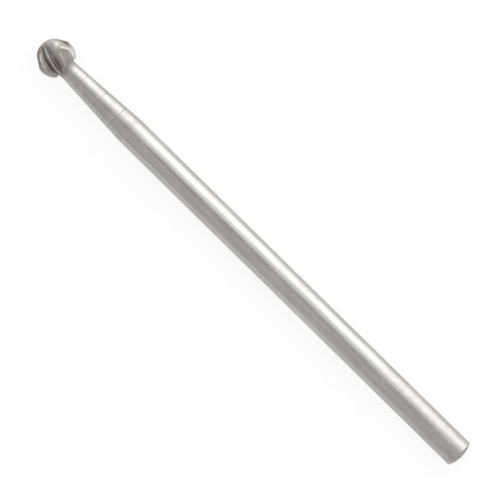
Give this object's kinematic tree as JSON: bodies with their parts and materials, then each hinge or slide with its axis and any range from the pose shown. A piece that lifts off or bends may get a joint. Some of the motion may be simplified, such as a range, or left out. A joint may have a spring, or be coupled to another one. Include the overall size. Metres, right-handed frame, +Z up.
{
  "type": "ball bur",
  "caption": "Rotary cutting bur with a round toothed head on a slim neck, a long taper and a plain straight shank with a crowned butt.",
  "frame": {"origin": "middle of the base on which the bur lies", "axes": "+X along the bur towards the butt of the shank, +Z up; the axis leans down towards the butt by about 0.4 degrees, because the bur lies on two teeth and on the rim of its butt"},
  "size_m": [0.0454, 0.003, 0.003],
  "materials": {
    "tool_steel": "ground and hardened tool steel, bright shank, darker toothed ball"
  },
  "bodies": {
    "root": {"ball_bur": "tool_steel"}
  },
  "joints": []
}
